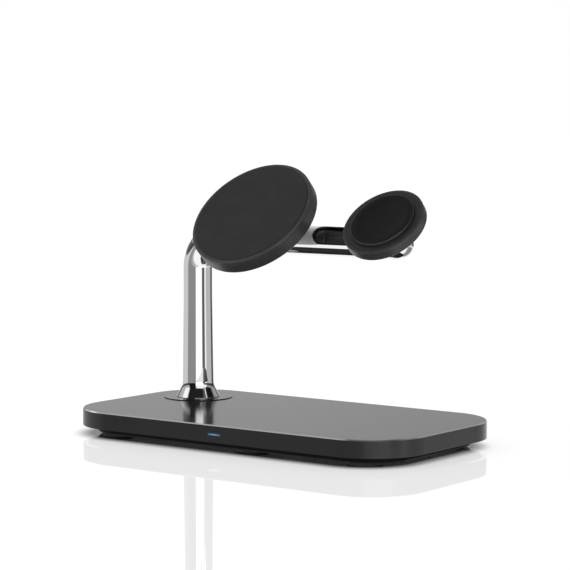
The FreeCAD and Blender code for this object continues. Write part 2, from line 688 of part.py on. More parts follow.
def sleeve(label, first, last, outer, inner, soft=0.0):
    """A bush about the arm axis; soft rounds its outer edges."""
    body = new_body(label)
    sketch = new_sketch(body, "XZ_Plane", 0.0)
    first, last, outer, inner = dim(first), dim(last), dim(outer), dim(inner)
    if soft:
        loop(sketch, [(first, inner), (last, inner), (last, outer - soft, soft), (last - soft, outer),
                      (first + soft, outer, soft), (first, outer - soft)])
    else:
        loop(sketch, [(first, inner), (last, inner), (last, outer), (first, outer)])
    turn(body, sketch, "H_Axis")
    place(body, 0.0, "post_y", "arm_z")
    return body


# Hinge stack inside the arm, from left to right.
sleeve("anchor_bush", dim("shaft_a") - 0.3, dim("pslot_a") - 0.4, "bush_rad", "bush_bore")
sleeve("centre_bush", dim("pslot_b") + 0.4, dim("wslot_a") - 0.1, "bush_rad", "bush_bore")
sleeve("spacer_bush", dim("wslot_a") + 0.5, dim("wbarrel_a") - 0.65, "spacer_rad", "bush_bore", soft=0.9)
shaft = sleeve("hinge_shaft", "shaft_a", "shaft_b", "shaft_rad", "shaft_bore")
for middle in ("phone_x", "wneck_x"):
    sk = new_sketch(shaft, "XY_Plane", 0.0)
    sk.AttachmentOffset = FreeCAD.Placement(V(0, 0, 0), FreeCAD.Rotation(V(1, 0, 0), 90.0 - VALUE["head_lean"]))
    sk.setExpression("AttachmentOffset.Rotation.Angle", "90 - dims.head_lean")
    wl, wh = dim("window_len") / 2, dim("window_half")
    box(sk, dim(middle) - wl, dim(middle) + wl, -wh, wh)
    cut(shaft, sk, 4.0, along=True)
rings = new_body("friction_washers")
for first in (dim("pbarrel_a") - 0.6, dim("pbarrel_b") + 0.1, dim("wslot_a") - 0.05,
              dim("wbarrel_a") - 0.6, dim("wbarrel_b") + 0.1):
    sk = new_sketch(rings, "YZ_Plane", first)
    circle(sk, 0, 0, "ring_rad")
    circle(sk, 0, 0, "ring_bore")
    pad(rings, sk, 0.5)
place(rings, 0.0, "post_y", "arm_z")

# The lead: straight runs and tangent arcs from the board, up the post, round
# the elbow and into the hollow shaft.
px, py, lz, az = VALUE["post_x"], VALUE["post_y"], VALUE["lead_z"], VALUE["arm_z"]
stops = [(V(-26.0, 34.0, VALUE["board_z"] - 0.05), 0), (V(-26.0, 34.0, lz), 2.4), (V(-48.0, 34.0, lz), 5.0),
         (V(-48.0, py, lz), 5.0), (V(px, py, lz), 4.0), (V(px, py, az), VALUE["elbow"]),
         (V(VALUE["wneck_x"] + 1.5, py, az), 0)]
edges, here = [], stops[0][0]
for (point, rad), (after, unused) in zip(stops[1:-1], stops[2:]):
    into, out = (point - here), (after - point)
    into.normalize()
    out.normalize()
    start, stop = point - into * rad, point + out * rad
    middle = point + (out - into) * rad - (out - into) * (rad / math.sqrt(2.0))
    edges.append(Part.LineSegment(here, start).toShape())
    edges.append(Part.Arc(start, middle, stop).toShape())
    here = stop
edges.append(Part.LineSegment(here, stops[-1][0]).toShape())
path = Part.Wire(edges)
ring = Part.Wire([Part.Circle(stops[0][0], V(0, 0, -1), VALUE["lead_rad"]).toShape()])
lead = doc.addObject("Part::Feature", "arm_lead")
lead.Label = "arm_lead"
lead.Shape = path.makePipeShell([ring], True, False)
lead.Placement = FreeCAD.Placement(V(0, 0, 0), FreeCAD.Rotation())
NODES.append(lead)
want = math.pi * VALUE["lead_rad"] ** 2 * path.Length
print("arm_lead: length %.1f, volume %.1f, section times length %.1f" % (path.Length, abs(lead.Shape.Volume), want))


# ------------------------------------------------------------- hinge knuckles
def knuckle(label, x, first, last, neck_a, neck_b, back, flange, screw_a, screw_b, hole_x, pilot):
    """Barrel, neck and flange in one moulding.  x places it; the other X values are local."""
    body = new_body(label)
    sketch = new_sketch(body, "YZ_Plane", first)
    circle(sketch, 0, 0, "barrel_rad")
    pad(body, sketch, last - first)
    sketch = new_sketch(body, "XY_Plane", 3.4)
    box(sketch, neck_a, neck_b, -dim("neck_half"), "neck_half")
    pad(body, sketch, dim(back) - 3.4)
    sketch = new_sketch(body, "XY_Plane", dim(back) - 1.4)
    rounded(sketch, (neck_a + neck_b) / 2, 0, (neck_b - neck_a) / 2 + flange, 7.0, 3.0)
    pad(body, sketch, 1.4)
    sketch = new_sketch(body, "YZ_Plane", first)
    circle(sketch, 0, 0, "barrel_bore")
    cut(body, sketch, last - first, along=True)
    sketch = new_sketch(body, "XY_Plane", back)
    circle(sketch, screw_a, 0, pilot)
    circle(sketch, screw_b, 0, pilot)
    cut(body, sketch, 4.2)
    sketch = new_sketch(body, "XY_Plane", back)
    circle(sketch, hole_x, 0, 1.1)
    cut(body, sketch, dim(back))
    place_head(body, x)
    return body


px0 = dim("phone_x")
knuckle("phone_knuckle", "phone_x", dim("pbarrel_a") - px0, dim("pbarrel_b") - px0, -dim("pneck"), dim("pneck"), "phone_back", 4.0,
        -dim("pscrew"), dim("pscrew"), dim(0.0), 1.25)
wx = dim("watch_x")
wn = dim("wneck_x") - wx
knuckle("watch_knuckle", "watch_x", dim("wbarrel_a") - wx, dim("wbarrel_b") - wx, wn - dim("wneck"), wn + dim("wneck"),
        "watch_back", 3.0, wn - dim("wscrew"), wn + dim("wscrew"), wn, 1.05)


def cup(label, x, rad, back, rim, wall, soft, screw_a, screw_b, hole_x, head, shank, hole):
    """A round rear shell: flat floor, straight wall, rounded rear edge."""
    body = new_body(label)
    sketch = new_sketch(body, "XZ_Plane", 0.0)
    rad, back, rim, wall, soft = dim(rad), dim(back), dim(rim), dim(wall), dim(soft)
    loop(sketch, [(0, back), (rad - soft, back, soft), (rad, back + soft), (rad, rim - 0.2), (rad - 0.2, rim),
                  (rad - wall, rim), (rad - wall, back + wall + 0.6, -dim(0.6)), (rad - wall - 0.6, back + wall),
                  (0, back + wall)])
    turn(body, sketch)
    sketch = new_sketch(body, "XY_Plane", back + wall)
    circle(sketch, screw_a, 0, dim(head) + 0.1)
    circle(sketch, screw_b, 0, dim(head) + 0.1)
    cut(body, sketch, 0.9)
    sketch = new_sketch(body, "XY_Plane", back + wall)
    circle(sketch, screw_a, 0, dim(shank) + 0.15)
    circle(sketch, screw_b, 0, dim(shank) + 0.15)
    circle(sketch, hole_x, 0, hole)
    cut(body, sketch, wall + 1.0)
    place_head(body, x)
    return body


def head_screws(label, x, seat, screw_a, screw_b, head, shank, tall):
    body = new_body(label)
    sketch = new_sketch(body, "XY_Plane", seat)
    circle(sketch, screw_a, 0, head)
    circle(sketch, screw_b, 0, head)
    pad(body, sketch, 0.8)
    sketch = new_sketch(body, "XY_Plane", seat)
    circle(sketch, screw_a, 0, shank)
    circle(sketch, screw_b, 0, shank)
    pad(body, sketch, tall, back=True)
    place_head(body, x)
    return body


# ----------------------------------------------------------------- large head
ps = dim("pscrew")
cup("phone_rear_shell", "phone_x", "phone_rad", "phone_back", "phone_seam", "phone_wall", "phone_round",
    -ps, ps, dim(0.0), 2.2, 1.2, 1.0)
floor_p = dim("phone_back") + dim("phone_wall")
head_screws("phone_knuckle_screws", "phone_x", floor_p - 0.9, -ps, ps, 2.2, 1.2, 5.0)
pboard = ring_body("phone_board", None, 20.0, floor_p + 0.2, floor_p + 1.1)
place_head(pboard, "phone_x")
pr = dim("phone_rad") - dim("phone_wall") - 0.3
carrier = new_body("phone_carrier")
sk = new_sketch(carrier, "XZ_Plane", 0.0)
seam = dim("phone_seam")
loop(sk, [(0, floor_p + 1.2), (pr, floor_p + 1.2), (pr, seam - 0.05), (pr - 0.6, seam - 0.05),
          (pr - 0.6, floor_p + 2.0), (0, floor_p + 2.0)])
turn(carrier, sk)
place_head(carrier, "phone_x")
yoke = ring_body("phone_yoke", dim("mag_in") - 0.2, dim("mag_out") + 0.2, floor_p + 2.05, floor_p + 2.65)
place_head(yoke, "phone_x")
magnets = new_body("phone_magnets")
sk = new_sketch(magnets, "XY_Plane", floor_p + 2.7)
mi, mo = dim("mag_in"), dim("mag_out")
span = math.radians(180.0 / VALUE["mag_count"] - 0.35)
ca, sa = math.cos(span), math.sin(span)
loop(sk, [(mi * ca, mi * -sa), (mo * ca, mo * -sa, mo), (mo * ca, mo * sa), (mi * ca, mi * sa, -mi)])
first_magnet = pad(magnets, sk, seam - 0.15 - floor_p - 2.7)
polar = magnets.newObject("PartDesign::PolarPattern", "phone_magnets_pattern")
polar.Originals = [first_magnet]
polar.Axis = (sk, ["N_Axis"])
polar.Angle = 360.0
polar.Occurrences = int(VALUE["mag_count"])
magnets.Tip = polar
doc.recompute()
place_head(magnets, "phone_x")
pferrite = ring_body("phone_ferrite", None, dim("mag_in") - 0.6, floor_p + 2.05, floor_p + 2.95)
place_head(pferrite, "phone_x")
pcoil = ring_body("phone_coil", 9.0, dim("mag_in") - 1.2, floor_p + 3.0, seam - 0.15)
place_head(pcoil, "phone_x")
front = new_body("phone_front_cover")
sk = new_sketch(front, "XZ_Plane", 0.0)
pface, pfull = dim("phone_face"), dim("phone_rad")
loop(sk, [(0, seam + 0.05), (pfull - 0.25, seam + 0.05), (pfull, seam + 0.3), (pfull, pface - 0.7, dim(0.7)),
          (pfull - 0.7, pface), (0, pface)])
turn(front, sk)
place_head(front, "phone_x")
soft = new_body("phone_pad")
sk = new_sketch(soft, "XZ_Plane", 0.0)
pfront, pr2 = dim("phone_front"), dim("phone_padr")
loop(sk, [(0, pface), (pr2, pface), (pr2, pfront - 0.3, dim(0.3)), (pr2 - 0.3, pfront), (0, pfront)])
turn(soft, sk)
place_head(soft, "phone_x")
plead = cylinder("phone_lead", 0.7, floor_p + 0.15 - 2.0)
plead.Label = "phone_lead"
NODES.append(plead)

# ----------------------------------------------------------------- small head
wa, wb = wn - dim("wscrew"), wn + dim("wscrew")
cup("watch_rear_shell", "watch_x", "watch_rad", "watch_back", "watch_face", "watch_wall", "watch_round",
    wa, wb, wn, 1.8, 1.0, 0.8)
floor_w = dim("watch_back") + dim("watch_wall")
head_screws("watch_knuckle_screws", "watch_x", floor_w - 0.9, wa, wb, 1.8, 1.0, 4.6)
wboard = ring_body("watch_board", None, 15.0, floor_w + 0.1, floor_w + 0.7)
place_head(wboard, "watch_x")
wferrite = ring_body("watch_ferrite", None, 14.5, floor_w + 0.75, floor_w + 1.35)
place_head(wferrite, "watch_x")
wcoil = ring_body("watch_coil", 6.0, 14.0, floor_w + 1.4, floor_w + 2.0)
place_head(wcoil, "watch_x")
wmag = ring_body("watch_magnet", None, 5.4, floor_w + 1.4, floor_w + 2.0)
place_head(wmag, "watch_x")
wface, wfront, wdisc = dim("watch_face"), dim("watch_front"), dim("watch_disc")
bezel = new_body("watch_bezel")
sk = new_sketch(bezel, "XZ_Plane", 0.0)
wr = dim("watch_rad") - dim("watch_wall") - 0.05
loop(sk, [(wdisc + 0.1, wface - 1.2), (wr, wface - 1.2), (wr, wface - 0.1), (wdisc + 0.1, wface - 0.1)])
turn(bezel, sk)
place_head(bezel, "watch_x")
disc = new_body("watch_charge_disc")
sk = new_sketch(disc, "XZ_Plane", 0.0)
loop(sk, [(0, floor_w + 2.05), (wdisc, floor_w + 2.05), (wdisc, wfront - 0.7, dim(0.7)), (wdisc - 0.7, wfront),
          (13.0, wfront, -dim(141.1)), (0, wfront - 0.6)])
turn(disc, sk)
place_head(disc, "watch_x")
wlead = cylinder("watch_lead", 0.6, floor_w + 0.05 - 2.0)
wlead.Label = "watch_lead"
NODES.append(wlead)
doc.recompute()

# The short leads in the necks start just outside the arm lead, inside the shaft's windows.
for obj, x, lean in ((plead, "phone_x", "head_lean"), (wlead, "wneck_x", "watch_lean")):
    slope = math.radians(VALUE[lean])
    aim = V(0, -math.cos(slope), math.sin(slope))
    obj.Placement = FreeCAD.Placement(V(VALUE[x], VALUE["post_y"], VALUE["arm_z"]) + aim * 2.0,
                                      FreeCAD.Rotation(V(1, 0, 0), 90.0 - VALUE[lean]))

# ------------------------------------------------------------ check and write
doc.recompute()
for obj in doc.Objects:
    if "Invalid" in obj.State or "Error" in obj.State:
        raise RuntimeError("%s failed: %s" % (obj.Label, obj.State))
for obj in NODES:
    if obj.Shape.isNull() or not obj.Shape.isValid() or not obj.Shape.Solids:
        raise RuntimeError("%s has no valid solid" % obj.Label)
os.makedirs("parts", exist_ok=True)
for obj in NODES:
    obj.Shape.exportStep("parts/%s.step" % obj.Label)
    box3 = obj.Shape.BoundBox
    print("%-22s solids %2d volume %9.1f  x %.1f..%.1f y %.1f..%.1f z %.1f..%.1f" % (
        obj.Label, len(obj.Shape.Solids), obj.Shape.Volume, box3.XMin, box3.XMax, box3.YMin, box3.YMax, box3.ZMin, box3.ZMax))
print(len(NODES), "nodes")
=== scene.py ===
import json
import math

import bpy
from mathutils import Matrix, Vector


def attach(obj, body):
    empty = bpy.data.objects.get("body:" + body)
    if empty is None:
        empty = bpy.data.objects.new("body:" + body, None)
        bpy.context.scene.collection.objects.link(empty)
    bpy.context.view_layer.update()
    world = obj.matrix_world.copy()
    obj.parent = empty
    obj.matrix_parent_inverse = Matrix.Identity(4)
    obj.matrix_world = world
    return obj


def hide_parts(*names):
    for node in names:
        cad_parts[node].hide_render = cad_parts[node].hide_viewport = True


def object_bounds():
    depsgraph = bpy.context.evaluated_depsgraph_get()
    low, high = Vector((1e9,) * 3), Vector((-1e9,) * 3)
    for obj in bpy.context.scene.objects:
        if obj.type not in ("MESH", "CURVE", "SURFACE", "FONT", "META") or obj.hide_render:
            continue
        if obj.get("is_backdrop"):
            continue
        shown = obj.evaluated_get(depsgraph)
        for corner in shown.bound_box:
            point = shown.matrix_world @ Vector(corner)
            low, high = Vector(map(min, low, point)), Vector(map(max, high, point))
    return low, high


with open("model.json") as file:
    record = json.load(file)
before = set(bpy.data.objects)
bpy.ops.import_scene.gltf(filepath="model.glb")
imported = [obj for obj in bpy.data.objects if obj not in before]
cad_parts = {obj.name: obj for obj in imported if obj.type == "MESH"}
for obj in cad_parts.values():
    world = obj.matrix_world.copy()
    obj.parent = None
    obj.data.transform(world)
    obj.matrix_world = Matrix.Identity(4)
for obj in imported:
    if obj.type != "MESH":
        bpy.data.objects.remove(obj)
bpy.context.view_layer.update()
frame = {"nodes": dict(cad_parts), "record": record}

MM = 0.001

# Sizes in millimetres, the same as the model's.
POST_X, POST_Y, ARM_Z = -68.0, 21.7, 94.0
TUBE_R, BORE_R, ELBOW, TUBE_END = 7.2, 6.2, 16.0, 52.6
POST_LOW, TAPER_TOP, FLARE, FLARE_TURN = 7.75, 64.0, 8.0, 27.0
RISE, SEAT, FLARE_TOP, COLLAR_R = 12.85, 13.10, 21.3, 17.2
SLOT_HALF, SLOT_LEAN = 5.2, 38.0
# left end, right end, and the corner radius at each
SLOTS = ((-47.4, -1.6, 4.9, 4.9), (7.3, 49.2, 4.9, 2.0))
LARGE = dict(x=-23.75, lean=44.0, rad=32.0, back=10.7, seam=17.6, face=19.1, front=19.6, pad=30.2, wall=1.8, soft=2.0)
SMALL = dict(x=51.0, lean=46.0, rad=20.3, back=10.0, face=15.6, front=17.2, disc=16.0, wall=1.6, soft=1.6)


# ------------------------------------------------------------------ mesh code
class Shell:
    """Patches of faces with their exact surface normals, welded into one mesh."""

    def __init__(self):
        self.points, self.lookup, self.faces, self.normals = [], {}, [], []

    def index(self, p):
        key = tuple(int(math.floor((c + 0.000137) * 2000.0)) for c in p)
        if key not in self.lookup:
            self.lookup[key] = len(self.points)
            self.points.append(Vector(p))
        return self.lookup[key]

    def face(self, corners):
        ids, normals = [], []
        for p, n in corners:
            i = self.index(p)
            if i not in ids:
                ids.append(i)
                normals.append(Vector(n))
        if len(ids) < 3:
            return
        flat = Vector((0, 0, 0))
        for k in range(len(ids)):
            flat += self.points[ids[k]].cross(self.points[ids[(k + 1) % len(ids)]])
        if flat.dot(sum(normals, Vector((0, 0, 0)))) < 0:
            ids.reverse()
            normals.reverse()
        self.faces.append(ids)
        self.normals.append(normals)

    def grid(self, rows, closed=True):
        """rows of (point, normal), all of one length; closed joins the last column to the first."""
        count = len(rows[0])
        for a, b in zip(rows, rows[1:]):
            for j in range(count if closed else count - 1):
                k = (j + 1) % count
                self.face([a[j], a[k], b[k], b[j]])

    def build(self, name, body, slot, material, *nodes):
        mesh = bpy.data.meshes.new(name)
        mesh.from_pydata([p * MM for p in self.points], [], self.faces)
        mesh.polygons.foreach_set("use_smooth", [True] * len(mesh.polygons))
        mesh.update()
        mesh.normals_split_custom_set([n.normalized() for ns in self.normals for n in ns])
        mesh.materials.append(material)
        piece = bpy.data.objects.new(name, mesh)
        bpy.context.scene.collection.objects.link(piece)
        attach(piece, body)
        if nodes:
            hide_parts(*nodes)
        return piece


def outline(corners, closed=True, steps=10):
    """Runs of (point, normal) along a section whose corners (a, b, radius) are rounded.
    The section goes anticlockwise, so that its outside is on the right of the travel."""
    pts = [(Vector(c[:2]), c[2] if len(c) > 2 else 0.0) for c in corners]
    count = len(pts)
    runs, starts, ends = [], [None] * count, [None] * count
    arcs = [None] * count
    for i, (p, rad) in enumerate(pts):
        if not closed and i in (0, count - 1):
            starts[i] = ends[i] = p
            continue
        d0 = (p - pts[i - 1][0]).normalized()
        d1 = (pts[(i + 1) % count][0] - p).normalized()
        turn = math.atan2(d0.x * d1.y - d0.y * d1.x, d0.dot(d1))
        if rad <= 0 or abs(turn) < 1e-6:
            starts[i] = ends[i] = p
            continue
        back = rad * math.tan(abs(turn) / 2)
        starts[i], ends[i] = p - d0 * back, p + d1 * back
        side = 1.0 if turn > 0 else -1.0
        centre = starts[i] + Vector((-d0.y, d0.x)) * (rad * side)
        first = starts[i] - centre
        arc = []
        for k in range(steps + 1):
            t = turn * k / steps
            q = Vector((first.x * math.cos(t) - first.y * math.sin(t), first.x * math.sin(t) + first.y * math.cos(t)))
            arc.append((centre + q, q.normalized() * side))
        arcs[i] = arc
    for i in range(count):
        if arcs[i]:
            runs.append(arcs[i])
        if i == count - 1 and not closed:
            break
        a, b = ends[i], starts[(i + 1) % count]
        if (b - a).length > 1e-6:
            d = (b - a).normalized()
            n = Vector((d.y, -d.x))
            runs.append([(a, n), (b, n)])
    return runs


def lathe(shell, runs, origin, x_axis, y_axis, z_axis, segments=192):
    """Turns a section of (radius, height) about z_axis through origin."""
    for run in runs:
        rows = []
        for p, n in run:
            row = []
            for j in range(segments):
                t = 2 * math.pi * j / segments
                out = x_axis * math.cos(t) + y_axis * math.sin(t)
                row.append((origin + out * p.x + z_axis * p.y, out * n.x + z_axis * n.y))
            rows.append(row)
        shell.grid(rows)


def head_frame(head):
    lean = math.radians(head["lean"])
    aim = Vector((0, -math.cos(lean), math.sin(lean)))
    up = Vector((0, math.sin(lean), math.cos(lean)))
    return Vector((head["x"], POST_Y, ARM_Z)), Vector((1, 0, 0)), up, aim


# -------------------------------------------------------------------- shaders
def new_material(name):
    material = bpy.data.materials.new(name)
    material.use_nodes = True
    tree = material.node_tree
    tree.nodes.clear()
    out = tree.nodes.new("ShaderNodeOutputMaterial")
    bsdf = tree.nodes.new("ShaderNodeBsdfPrincipled")
    tree.links.new(bsdf.outputs["BSDF"], out.inputs["Surface"])
    return material, tree, bsdf


def node(tree, kind, **values):
    n = tree.nodes.new(kind)
    for key, value in values.items():
        setattr(n, key, value)
    return n


def wire(tree, source, target):
    tree.links.new(source, target)


def noise(tree, scale, detail=3.0, rough=0.55, stretch=None):
    """Noise over the piece's own coordinates, in metres; scale is features per metre."""
    where = node(tree, "ShaderNodeTexCoord")
    source = where.outputs["Object"]
    if stretch:
        mapping = node(tree, "ShaderNodeMapping")
        mapping.inputs["Scale"].default_value = stretch
        wire(tree, source, mapping.inputs["Vector"])
        source = mapping.outputs["Vector"]
    tex = node(tree, "ShaderNodeTexNoise")
    tex.inputs["Scale"].default_value = scale
    tex.inputs["Detail"].default_value = detail
    tex.inputs["Roughness"].default_value = rough
    wire(tree, source, tex.inputs["Vector"])
    return tex.outputs["Fac"]


def ramp(tree, source, low, high, a=0.3, b=0.7):
    """A value from low to high as source goes from a to b."""
    m = node(tree, "ShaderNodeMapRange")
    m.inputs["From Min"].default_value = a
    m.inputs["From Max"].default_value = b
    m.inputs["To Min"].default_value = low
    m.inputs["To Max"].default_value = high
    wire(tree, source, m.inputs["Value"])
    return m.outputs["Result"]


def tint(tree, source, dark, light, a=0.3, b=0.7):
    """A colour from dark to light as source goes from a to b."""
    r = node(tree, "ShaderNodeValToRGB")
    r.color_ramp.elements[0].position = a
    r.color_ramp.elements[0].color = (*dark, 1.0)
    r.color_ramp.elements[1].position = b
    r.color_ramp.elements[1].color = (*light, 1.0)
    wire(tree, source, r.inputs["Fac"])
    return r.outputs["Color"]


def bump(tree, bsdf, source, depth, strength=1.0):
    b = node(tree, "ShaderNodeBump")
    b.inputs["Distance"].default_value = depth
    b.inputs["Strength"].default_value = strength
    wire(tree, source, b.inputs["Height"])
    wire(tree, b.outputs["Normal"], bsdf.inputs["Normal"])


def grained(name, dark, light, rough, grain, depth, specular=0.5, metallic=0.0, mottle=90.0):
    """A satin or matt surface: slow mottling in colour, and a fine grain in roughness and relief."""
    material, tree, bsdf = new_material(name)
    slow = noise(tree, mottle, 4.0)
    fine = noise(tree, grain, 2.0)
    wire(tree, tint(tree, slow, dark, light), bsdf.inputs["Base Color"])
    wire(tree, ramp(tree, fine, rough[0], rough[1]), bsdf.inputs["Roughness"])
    bsdf.inputs["Specular IOR Level"].default_value = specular
    bsdf.inputs["Metallic"].default_value = metallic
    bump(tree, bsdf, fine, depth)
    return material


def coated_base():
    """Dark satin coating; the narrow chamfer round the top is cut through to bright metal."""
    material, tree, bsdf = new_material("base_coat_satin")
    slow = noise(tree, 60.0, 4.0)
    fine = noise(tree, 5200.0, 2.0)
    coat = tint(tree, slow, (0.0088, 0.0090, 0.0098), (0.0118, 0.0120, 0.0128))
    geometry = node(tree, "ShaderNodeTexCoord")
    parts = node(tree, "ShaderNodeSeparateXYZ")
    wire(tree, geometry.outputs["Normal"], parts.inputs["Vector"])
    tilt = parts.outputs["Z"]
    above = node(tree, "ShaderNodeMath", operation="GREATER_THAN")
    above.inputs[1].default_value = 0.35
    wire(tree, tilt, above.inputs[0])
    below = node(tree, "ShaderNodeMath", operation="LESS_THAN")
    below.inputs[1].default_value = 0.95
    wire(tree, tilt, below.inputs[0])
    edge = node(tree, "ShaderNodeMath", operation="MULTIPLY")
    wire(tree, above.outputs[0], edge.inputs[0])
    wire(tree, below.outputs[0], edge.inputs[1])
    streak = noise(tree, 900.0, 3.0)
    bright = tint(tree, streak, (0.80, 0.80, 0.81), (0.90, 0.90, 0.91))
    mix = node(tree, "ShaderNodeMix", data_type="RGBA")
    wire(tree, edge.outputs[0], mix.inputs["Factor"])
    wire(tree, coat, mix.inputs["A"])
    wire(tree, bright, mix.inputs["B"])
    wire(tree, mix.outputs["Result"], bsdf.inputs["Base Color"])
    wire(tree, edge.outputs[0], bsdf.inputs["Metallic"])
    wire(tree, ramp(tree, fine, 0.125, 0.175), bsdf.inputs["Roughness"])
    bump(tree, bsdf, fine, 0.000002, 0.5)
    return material


def head_finish_and_painted_light(name, aim, front, side, rear, gloss=(0.5, 0.5)):
    """Satin shell of a head that faces aim: its front, side and rear faces each have a tone. The rear's lighter tone is
    a finish; where the front and side tones differ, the difference is painted light and shade by facing, not a finish.
    """
    material, tree, bsdf = new_material(name)
    slow = noise(tree, 90.0, 4.0)
    fine = noise(tree, 4600.0, 2.0)
    fleck = noise(tree, 2600.0, 3.0, 0.6)
    where = node(tree, "ShaderNodeTexCoord")
    facing = node(tree, "ShaderNodeVectorMath", operation="DOT_PRODUCT")
    facing.inputs[1].default_value = aim
    wire(tree, where.outputs["Normal"], facing.inputs[0])

    def share(low, high):
        r = node(tree, "ShaderNodeMapRange", interpolation_type="SMOOTHSTEP")
        r.inputs["From Min"].default_value = low
        r.inputs["From Max"].default_value = high
        wire(tree, facing.outputs["Value"], r.inputs["Value"])
        return r.outputs["Result"]

    def mixed(factor, a, b):
        m = node(tree, "ShaderNodeMix", data_type="RGBA")
        wire(tree, factor, m.inputs["Factor"])
        wire(tree, a, m.inputs["A"])
        wire(tree, b, m.inputs["B"])
        return m.outputs["Result"]

    ahead = share(0.86, 0.96)
    tone = mixed(ahead, tint(tree, slow, *side), tint(tree, slow, *front))
    tone = mixed(share(-0.999, -0.990), tint(tree, fleck, *rear), tone)
    wire(tree, tone, bsdf.inputs["Base Color"])
    wire(tree, ramp(tree, ahead, gloss[0], gloss[1]), bsdf.inputs["Specular IOR Level"])
    wire(tree, ramp(tree, fine, 0.30, 0.40), bsdf.inputs["Roughness"])
    bump(tree, bsdf, fine, 0.000010)
    return material


def polished_chrome():
    material, tree, bsdf = new_material("chrome_polished")
    haze = noise(tree, 45.0, 5.0, 0.6)
    hair = noise(tree, 700.0, 3.0, 0.6, stretch=(0.25, 1.0, 1.0))
    wire(tree, tint(tree, haze, (0.885, 0.89, 0.90), (0.92, 0.925, 0.93)), bsdf.inputs["Base Color"])
    wire(tree, ramp(tree, hair, 0.015, 0.045), bsdf.inputs["Roughness"])
    bsdf.inputs["Metallic"].default_value = 1.0
    return material


def lit_lens():
    """Clear light guide, brightest along its middle and bluer towards its rim."""
    material, tree, bsdf = new_material("indicator_glow")
    where = node(tree, "ShaderNodeTexCoord")
    mapping = node(tree, "ShaderNodeMapping", vector_type="POINT")
    mapping.inputs["Location"].default_value = (0.0, 0.0, -0.0083 / 0.0005)
    mapping.inputs["Scale"].default_value = (1 / 0.0058, 0.0, 1 / 0.0005)
    wire(tree, where.outputs["Object"], mapping.inputs["Vector"])
    size = node(tree, "ShaderNodeVectorMath", operation="LENGTH")
    wire(tree, mapping.outputs["Vector"], size.inputs[0])
    speck = noise(tree, 2600.0, 2.0)
    sum_ = node(tree, "ShaderNodeMath", operation="ADD")
    wire(tree, size.outputs["Value"], sum_.inputs[0])
    wire(tree, ramp(tree, speck, -0.06, 0.06), sum_.inputs[1])
    glow = tint(tree, sum_.outputs[0], (0.32, 0.76, 1.00), (0.02, 0.09, 0.14), 0.20, 0.85)
    wire(tree, glow, bsdf.inputs["Emission Color"])
    bsdf.inputs["Emission Strength"].default_value = 0.46
    bsdf.inputs["Base Color"].default_value = (0.004, 0.016, 0.026, 1.0)
    bsdf.inputs["Roughness"].default_value = 0.2
    bsdf.inputs["Specular IOR Level"].default_value = 0.15
    return material


def board_green():
    material, tree, bsdf = new_material("circuit_board")
    where = node(tree, "ShaderNodeTexCoord")
    cells = node(tree, "ShaderNodeTexVoronoi", feature="DISTANCE_TO_EDGE")
    cells.inputs["Scale"].default_value = 420.0
    wire(tree, where.outputs["Object"], cells.inputs["Vector"])
    wire(tree, tint(tree, cells.outputs["Distance"], (0.03, 0.22, 0.10), (0.008, 0.09, 0.04), 0.02, 0.10), bsdf.inputs["Base Color"])
    bsdf.inputs["Roughness"].default_value = 0.35
    return material


def wound_copper():
    material, tree, bsdf = new_material("copper_winding")
    fine = noise(tree, 1800.0, 2.0)
    wire(tree, tint(tree, fine, (0.42, 0.17, 0.08), (0.72, 0.36, 0.20)), bsdf.inputs["Base Color"])
    bsdf.inputs["Metallic"].default_value = 1.0
    bsdf.inputs["Roughness"].default_value = 0.3
    return material


base_coat = coated_base()
side_tone = ((0.035, 0.035, 0.036), (0.043, 0.043, 0.044))
rear_tone = ((0.54, 0.54, 0.545), (0.64, 0.64, 0.645))
# Darker tone for the small shell's front face: painted shade, not a different finish.
painted_shade_front_tone = ((0.017, 0.017, 0.018), (0.023, 0.023, 0.024))
disc_tone = ((0.003, 0.003, 0.0035), (0.005, 0.005, 0.0055))
# Lighter tone for the charge disc's edge wall: painted light over the wall's shade.
painted_light_wall_tone = ((0.021, 0.021, 0.022), (0.026, 0.026, 0.027))
large_finish = head_finish_and_painted_light("large_head_satin", head_frame(LARGE)[3], side_tone, side_tone, rear_tone)
# Painted shade: the small shell's front face gets a darker tone than its side, chosen by facing alone.
small_finish_painted_shade = head_finish_and_painted_light("small_head_satin_painted_shade", head_frame(SMALL)[3], painted_shade_front_tone, side_tone, rear_tone)
# Painted light: the charge disc's edge wall is lighter than its face, which lifts the wall out of its shade.
disc_finish_painted_light = head_finish_and_painted_light("charge_disc_satin_painted_light", head_frame(SMALL)[3], disc_tone, painted_light_wall_tone, painted_light_wall_tone, (0.5, 0.2))
chrome = polished_chrome()
lens_glow = lit_lens()
collar_coat = grained("collar_coat", (0.008, 0.008, 0.009), (0.012, 0.012, 0.013), (0.05, 0.09), 4200.0, 0.000002)
cover_black = grained("cover_moulded", (0.003, 0.003, 0.0035), (0.006, 0.006, 0.0065), (0.52, 0.68), 3600.0, 0.00002, 0.1)
rubber_black = grained("rubber_matt", (0.030, 0.030, 0.031), (0.042, 0.042, 0.044), (0.68, 0.82), 2600.0, 0.00003, 0.35)
pad_soft = grained("pad_soft_touch", (0.018, 0.018, 0.019), (0.024, 0.024, 0.025), (0.55, 0.70), 4200.0, 0.000015, 0.4)
hinge_black = grained("hinge_glass_filled", (0.010, 0.010, 0.011), (0.017, 0.017, 0.018), (0.30, 0.44), 3000.0, 0.000015)
head_grey = grained("head_satin", (0.035, 0.035, 0.036), (0.043, 0.043, 0.044), (0.30, 0.40), 4600.0, 0.000010, 0.5)
disc_black = grained("disc_satin", (0.003, 0.003, 0.0035), (0.005, 0.005, 0.0055), (0.30, 0.42), 4200.0, 0.000010, 0.2)
bezel_black = grained("bezel_satin", (0.017, 0.017, 0.018), (0.023, 0.023, 0.024), (0.34, 0.46), 4200.0, 0.000010, 0.3)
